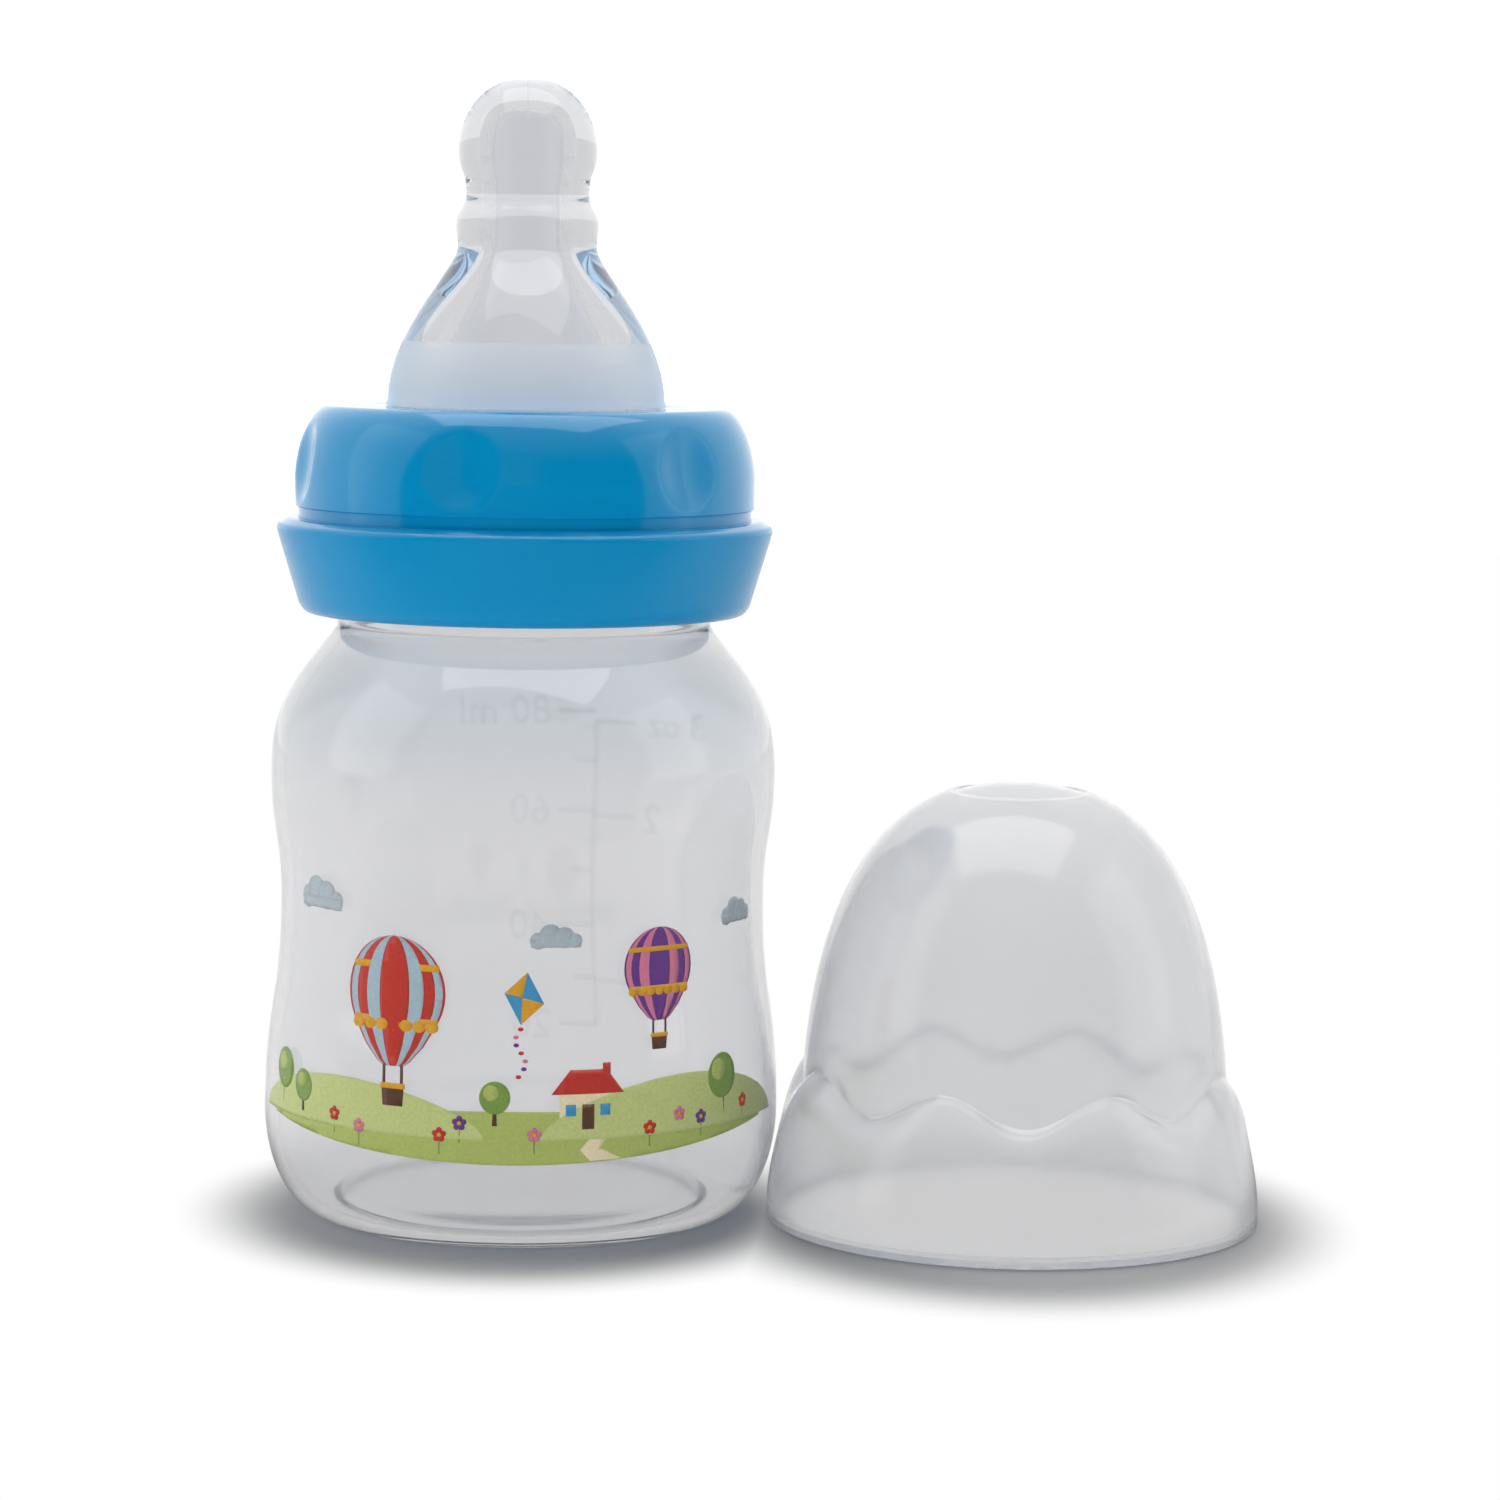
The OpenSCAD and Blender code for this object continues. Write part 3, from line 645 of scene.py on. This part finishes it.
GRIP_STEPS = 14
grip_low, grip_high = LEDGE_Z + GROOVE_W + 0.12, RING_TOP - 6.8
ring_path = chain(
    curve((21.4, SKIRT_Z), (22.0, SKIRT_Z), (22.5, SKIRT_Z + 0.7), (22.7, SKIRT_Z + 1.6), 8),
    [(22.7, SKIRT_Z + 1.6), (SKIRT_R, LEDGE_Z - 1.1)],
    curve((SKIRT_R, LEDGE_Z - 1.1), (SKIRT_R + 0.02, LEDGE_Z - 0.5),
          (SKIRT_R - 0.4, LEDGE_Z - 0.45), (GRIP_R + 0.6, LEDGE_Z), 8),
    [(GRIP_R + 0.6, LEDGE_Z), (GRIP_R - GROOVE_D, LEDGE_Z),
     (GRIP_R - GROOVE_D, LEDGE_Z + GROOVE_W), (GRIP_R - 0.1, LEDGE_Z + GROOVE_W)],
    [(GRIP_R - 0.1, LEDGE_Z + GROOVE_W), (GRIP_R, grip_low)],
    [(GRIP_R, grip_low + i * (grip_high - grip_low) / GRIP_STEPS) for i in range(GRIP_STEPS + 1)],
    curve((GRIP_R, grip_high), (GRIP_R - 0.2, RING_TOP - 3.4),
          (GRIP_R - 1.7, RING_TOP), (GRIP_R - 3.4, RING_TOP), 24),
)
bore_path = [
    (HOLE_R + 0.4, RING_TOP), (HOLE_R + 0.12, RING_TOP - 0.12), (HOLE_R, RING_TOP - 0.4),
    (HOLE_R, PLATE_Z), (BORE_R, PLATE_Z), (BORE_R, LEDGE_Z - 2.5), (21.9, LEDGE_Z - 3.5),
    (BORE_R, SKIRT_Z + 0.8), (BORE_R + 0.5, SKIRT_Z),
]
bm = turned(ring_path + bore_path, steps=288)
dent_z = (LEDGE_Z + RING_TOP) / 2
for v in bm.verts:
    r = math.hypot(v.co.x, v.co.y) / MM
    if r > BORE_R + 1.5 and v.co.z / MM > LEDGE_Z + GROOVE_W:
        for i in range(DENT_COUNT):
            a = math.radians(DENT_TURN + i * 360 / DENT_COUNT)
            across = (v.co.y * math.cos(a) - v.co.x * math.sin(a)) / MM
            along = v.co.x * math.cos(a) + v.co.y * math.sin(a)
            reach = (across / DENT_HALF_W) ** 2 + ((v.co.z / MM - dent_z) / DENT_HALF_H) ** 2
            if along > 0 and reach < 1:
                push = DENT_DEPTH * (1 - reach) ** 1.4
                v.co.x -= push * math.cos(a) * MM
                v.co.y -= push * math.sin(a) * MM
# Faces inside the bore take the third material, whose glow is painted light
for face in bm.faces:
    middle = face.calc_center_median()
    glowing_bore = math.hypot(middle.x, middle.y) < (BORE_R + 0.2) * MM and middle.z < (RING_TOP - 0.2) * MM
    face.material_index = 2 if glowing_bore else int(middle.z < (LEDGE_Z - 0.5) * MM)
thread_ridge(bm, BORE_R + SINK, NECK_R + 0.3, RING_THREAD_Z, RING_TURNS)
ring = finished(bm, "blue_ring")


def solid_plastic(name, colour, roughness, grain, uneven, gloss, painted_glow=0.0):
    """Dyed polypropylene: light goes a little way in, with a fine uneven surface of so many
    grains to a metre. The painted glow is a pale blue emission that stands in for the light
    that comes through the wall from its other side."""
    material, tree = new_material(name)
    place = add(tree, "ShaderNodeTexCoord")
    noise = add(tree, "ShaderNodeTexNoise", {"Scale": grain, "Detail": 3.0},
                {"Vector": place.outputs["Object"]})
    bump = add(tree, "ShaderNodeBump", {"Strength": uneven, "Distance": 0.0002},
               {"Height": noise.outputs["Fac"]})
    surface = add(tree, "ShaderNodeBsdfPrincipled", {
        "Base Color": linear(colour), "Roughness": roughness, "IOR": 1.49,
        "Specular IOR Level": gloss, "Subsurface Weight": 0.15, "Subsurface Radius": (0.2, 0.6, 1.0),
        "Subsurface Scale": 0.002, "Emission Color": linear(0xB4D6E6), "Emission Strength": painted_glow,
    }, {"Normal": bump.outputs["Normal"]})
    add(tree, "ShaderNodeOutputMaterial", None, {"Surface": surface.outputs[0]})
    return material


for blue in (
    # Polished polypropylene, dyed sky blue, its gloss a little wavy every 3 mm
    solid_plastic("polished_blue_polypropylene", 0x0095CE, roughness=0.1, grain=300.0, uneven=0.02,
                  gloss=0.5),
    # The same plastic off a satin mould face, which softens its gloss. The grain is drawn
    # at 0.7 mm, coarser than real, so that it shows.
    solid_plastic("satin_blue_polypropylene", 0x0094CD, roughness=0.22, grain=1500.0, uneven=0.1,
                  gloss=0.3),
    # Its bore, which glows with a painted light that stands in for daylight through the thin coloured
    # wall
    solid_plastic("painted_glow_blue_polypropylene", 0x0094CD, roughness=0.3, grain=300.0, uneven=0.02,
                  gloss=0.3, painted_glow=1.0),
):
    ring.data.materials.append(blue)
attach(ring, "screw_ring")
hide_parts("screw_ring")


# ---- cap -----------------------------------------------------------------------
# Injection-moulded natural polypropylene, milkier than the bottle because it isn't
# clarified: a dome with a sunk button on top, on a skirt with a wavy shoulder.
CAP_R, CAP_H, CAP_WALL = 24.7, 44.3, 1.1
STEP_LOW = (CAP_R - 1.4, 9.6)
STEP_TOP = (CAP_R - 3.4, 12.9)
WAVES, WAVE_RISE, WAVE_LOW, WAVE_FADE = 8, 3.0, 4.0, 12
BUTTON_R, BUTTON_SINK = 6.7, 0.35
CAP_X, CAP_Y = 49.63, -2.6
RIM_BAND = 1.5

side = chain(
    [(CAP_R, 0.25), (CAP_R, RIM_BAND)],
    curve((CAP_R, RIM_BAND), (CAP_R - 0.05, 4.6), (STEP_LOW[0] + 0.3, 8.3), STEP_LOW, 14),
    curve(STEP_LOW, (STEP_LOW[0] - 0.3, 11.2), (STEP_TOP[0] + 0.85, 12.2), STEP_TOP, 12),
)


def dome(n):
    """The dome over the shoulder, in n steps up to the axis."""
    return curve(STEP_TOP, (STEP_TOP[0] - 0.9, 31.8), (0.67 * STEP_TOP[0], CAP_H), (0, CAP_H), n)


def sunk(r, z):
    """The dome's top with the button pressed in, its edge rounded."""
    t = min(max((BUTTON_R + 0.35 - r) / 0.7, 0), 1)
    return (r, z - BUTTON_SINK * t * t * (3 - 2 * t))


cap_inner = inset(chain(side, dome(48)), CAP_WALL)
outer = chain(side, [sunk(r, z) for r, z in dome(96)])
rim = [(CAP_R - 0.12, 0.06), (CAP_R - 0.3, 0), (CAP_R - CAP_WALL + 0.1, 0),
       (CAP_R - CAP_WALL, 0.1), (GRIP_R - 0.1, 0.55), (CAP_R - CAP_WALL, 1.1)]
bm = turned(outer[::-1] + rim + cap_inner[1:], closed=False)
# The waves lift the shoulder, fading out to the skirt below and the dome above
for v in bm.verts:
    z = v.co.z / MM
    around = math.atan2(v.co.y, v.co.x) + math.pi / 2
    crest = 0.5 - 0.5 * math.cos(WAVES * around)
    if z < STEP_TOP[1]:
        share = max(0, (z - WAVE_LOW) / (STEP_TOP[1] - WAVE_LOW))
    else:
        share = max(0, 1 - (z - STEP_TOP[1]) / WAVE_FADE)
    share = share * share * (3 - 2 * share)
    v.co.z += WAVE_RISE * crest * share * MM
    v.co.x += CAP_X * MM
    v.co.y += CAP_Y * MM
cap = finished(bm, "milky_cap")
# Natural polypropylene with a glossy skin over swells of 8 mm: soft grey light comes
# through its haze
milky_pp = see_through("natural_polypropylene", 0xFDFDFE, clear=0.88, roughness=0.17, ior=1.4,
                       shade=0xD8DADE, grain=120.0, coat=0.25)
cap.data.materials.append(milky_pp)
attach(cap, "cap")
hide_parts("cap")


# ---- floor and light -----------------------------------------------------------
# A white table, grey with painted shade round the pieces, that runs out into a pale studio
# tent, with soft boxes at the sides and overhead, and two lamps that only matt surfaces show,
# behind and in front.
FLOOR_R = 1.2
# The table lies a hair under the pieces, so that no face of theirs falls together with it
FLOOR_PLACE = (0.025, 0, -0.0002)
# Half widths and depths of the painted shade round each piece on the table, in metres
PAINTED_SHADE_WIDE, BOTTLE_PAINTED_SHADE, CAP_PAINTED_SHADE = 0.037, 0.043, 0.048
# The tent's light as gloss shows it: at its mouth, its walls, its roof and its back
TENT_DARK, TENT_LIGHT, TENT_TOP, TENT_BACK = 0.03, 1.0, 0.7, 0.3
# The light that its back and top send to matt surfaces
TENT_WALL = 1.25
# Levels of the backdrop, the far floor and the floor by the pieces behind clear plastic; the lower level
# by the pieces is painted shade
BACKDROP_THROUGH, FAR_THROUGH, NEAR_THROUGH = 0.66, 0.8, 0.66
bm = bmesh.new()
bmesh.ops.create_circle(bm, cap_ends=True, segments=96, radius=FLOOR_R)
floor = finished(bm, "floor", outward=False)
floor.data.transform(Matrix.Translation(FLOOR_PLACE))
material, tree = new_material("white_table")
place = add(tree, "ShaderNodeTexCoord")
near = []
for x, y, deep in ((0, 0, BOTTLE_PAINTED_SHADE), (CAP_X * MM, CAP_Y * MM, CAP_PAINTED_SHADE)):
    offset = add(tree, "ShaderNodeVectorMath", {"operation": "SUBTRACT", 1: (x, y, 0)},
                 {0: place.outputs["Object"]})
    share = add(tree, "ShaderNodeVectorMath", {
        "operation": "MULTIPLY", 1: (1 / PAINTED_SHADE_WIDE, 1 / deep, 0),
    }, {0: offset.outputs["Vector"]})
    near.append(add(tree, "ShaderNodeVectorMath", {"operation": "LENGTH"}, {0: share.outputs["Vector"]}))
nearest = add(tree, "ShaderNodeMath", {"operation": "MINIMUM"},
              {0: near[0].outputs["Value"], 1: near[1].outputs["Value"]})
# Where the painted shade round the pieces gives way to plain white
painted_shade_edge = add(tree, "ShaderNodeMapRange", {
    "From Min": 0.61, "From Max": 0.96, "interpolation_type": "SMOOTHSTEP",
}, {"Value": nearest.outputs[0]})
# The painted shade's grey: paler right under the pieces, darker round them
under = add(tree, "ShaderNodeMapRange", {
    "From Min": 0.45, "From Max": 0.72, "To Min": 0.68, "To Max": 0.42,
}, {"Value": nearest.outputs[0]})
parts = add(tree, "ShaderNodeSeparateXYZ", None, {"Vector": place.outputs["Object"]})
# As gloss shows it, the table is a painted light: an emission dim at the tent's mouth and bright behind
painted_mirror_light = add(tree, "ShaderNodeMapRange", {
    "interpolation_type": "SMOOTHSTEP", "From Min": -0.14, "From Max": 0.0,
    "To Min": TENT_DARK, "To Max": TENT_LIGHT,
}, {"Value": parts.outputs["Y"]})
ray = add(tree, "ShaderNodeLightPath")
# Straight to the camera it is a grey cloth round the pieces, a painted shade, a little paler
# right under them so that their shade stays even, that runs out to plain white
cloth = add(tree, "ShaderNodeBsdfDiffuse", {"Color": (0.9, 0.9, 0.9, 1)})
painted_shade_cloth = add(tree, "ShaderNodeBsdfDiffuse", None, {"Color": under.outputs[0]})
white = add(tree, "ShaderNodeEmission", {"Strength": 1.0})
direct = add(tree, "ShaderNodeMixShader", None, {"Fac": painted_shade_edge.outputs[0]})
tree.links.new(painted_shade_cloth.outputs[0], direct.inputs[1])
tree.links.new(white.outputs[0], direct.inputs[2])
# Painted shade: the table's glow in gloss is dimmer near the pieces
painted_mirror_shade = add(tree, "ShaderNodeMapRange", {
    "From Min": 0.9, "From Max": 2.0, "To Min": 0.25, "To Max": 1.0,
}, {"Value": nearest.outputs[0]})
shown = add(tree, "ShaderNodeMath", {"operation": "MULTIPLY"},
            {0: painted_mirror_light.outputs[0], 1: painted_mirror_shade.outputs[0]})
mirrored = add(tree, "ShaderNodeEmission", None, {"Strength": shown.outputs[0]})
# Behind clear plastic the table is an emission, dimmer by the pieces as painted shade
painted_through_shade = add(tree, "ShaderNodeMapRange", {
    "From Min": 0.75, "From Max": 1.2, "To Min": NEAR_THROUGH, "To Max": FAR_THROUGH,
}, {"Value": nearest.outputs[0]})
behind = add(tree, "ShaderNodeEmission", None, {"Strength": painted_through_shade.outputs[0]})
shader = cloth
for sort, view in (("Is Glossy Ray", mirrored), ("Is Transmission Ray", behind),
                   ("Is Camera Ray", direct)):
    pick = add(tree, "ShaderNodeMixShader", None, {"Fac": ray.outputs[sort]})
    tree.links.new(shader.outputs[0], pick.inputs[1])
    tree.links.new(view.outputs[0], pick.inputs[2])
    shader = pick
add(tree, "ShaderNodeOutputMaterial", None, {"Surface": shader.outputs[0]})
floor.data.materials.append(material)

world = bpy.data.worlds.new("studio")
bpy.context.scene.world = world
world.use_nodes = True
tree = world.node_tree
tree.nodes.clear()
# The studio is a pale tent with its mouth towards the camera: dim in front, bright behind
direction = add(tree, "ShaderNodeTexCoord")
parts = add(tree, "ShaderNodeSeparateXYZ", None, {"Vector": direction.outputs["Generated"]})
tent = add(tree, "ShaderNodeMapRange", {
    "interpolation_type": "SMOOTHSTEP", "From Min": -0.55, "From Max": 0.15,
    "To Min": TENT_DARK, "To Max": TENT_LIGHT,
}, {"Value": parts.outputs["Y"]})
roof = add(tree, "ShaderNodeMapRange", {
    "interpolation_type": "SMOOTHSTEP", "From Min": 0.3, "From Max": 0.85,
    "To Min": 0.0, "To Max": TENT_TOP,
}, {"Value": parts.outputs["Z"]})
back = add(tree, "ShaderNodeMapRange", {
    "interpolation_type": "SMOOTHSTEP", "From Min": 0.2, "From Max": 0.9,
    "To Min": 0.0, "To Max": TENT_BACK,
}, {"Value": parts.outputs["Y"]})
walls = add(tree, "ShaderNodeMath", {"operation": "ADD"}, {0: tent.outputs[0], 1: back.outputs[0]})
inside = add(tree, "ShaderNodeMath", {"operation": "ADD"}, {0: walls.outputs[0], 1: roof.outputs[0]})
cloth_light = add(tree, "ShaderNodeMapRange", {
    "interpolation_type": "SMOOTHSTEP", "From Min": -0.35, "From Max": 0.25,
    "To Min": TENT_DARK, "To Max": TENT_WALL,
}, {"Value": parts.outputs["Y"]})
ray = add(tree, "ShaderNodeLightPath")
shine = add(tree, "ShaderNodeMix", {"data_type": "FLOAT"}, {
    "Factor": ray.outputs["Is Glossy Ray"], 2: cloth_light.outputs[0], 3: inside.outputs[0],
})
through = add(tree, "ShaderNodeMix", {"data_type": "FLOAT", 3: BACKDROP_THROUGH}, {
    "Factor": ray.outputs["Is Transmission Ray"], 2: shine.outputs[0],
})
level = add(tree, "ShaderNodeMath", {"operation": "MAXIMUM"},
            {0: ray.outputs["Is Camera Ray"], 1: through.outputs[0]})
sky = add(tree, "ShaderNodeBackground", {"Color": (1, 1, 1, 1)}, {"Strength": level.outputs[0]})
add(tree, "ShaderNodeOutputWorld", None, {"Surface": sky.outputs[0]})


def soft_box(name, place, aim, width, height, power, mirrored=True, lights=True):
    """A rectangular lamp at a place, turned to face a point. Gloss shows it if mirrored,
    and it lights matt surfaces if it lights."""
    lamp = bpy.data.lights.new(name, "AREA")
    lamp.shape = "RECTANGLE"
    lamp.size, lamp.size_y = width, height
    lamp.energy = power
    box = bpy.data.objects.new(name, lamp)
    box.location = place
    box.rotation_euler = (Vector(aim) - Vector(place)).to_track_quat("-Z", "Y").to_euler()
    box.visible_glossy = mirrored
    box.visible_transmission = mirrored and lights
    box.visible_diffuse = lights
    bpy.context.scene.collection.objects.link(box)


MIDDLE = (0.025, 0, 0.02)
soft_box("back_over", (0.025, 0.085, 0.5), MIDDLE, 0.3, 0.3, 0.5, mirrored=False)
soft_box("box_over", (0.02, -0.03, 0.45), MIDDLE, 0.44, 0.34, 1.0, lights=False)
soft_box("front_fill", (-0.1, -0.55, 0.19), MIDDLE, 0.4, 0.24, 1.1, mirrored=False)
soft_box("box_left", (-0.42, -0.1, 0.22), MIDDLE, 0.3, 0.4, 0.2)
soft_box("box_right", (0.47, -0.1, 0.22), MIDDLE, 0.3, 0.4, 0.2)

bpy.context.scene.view_settings.view_transform = "Standard"
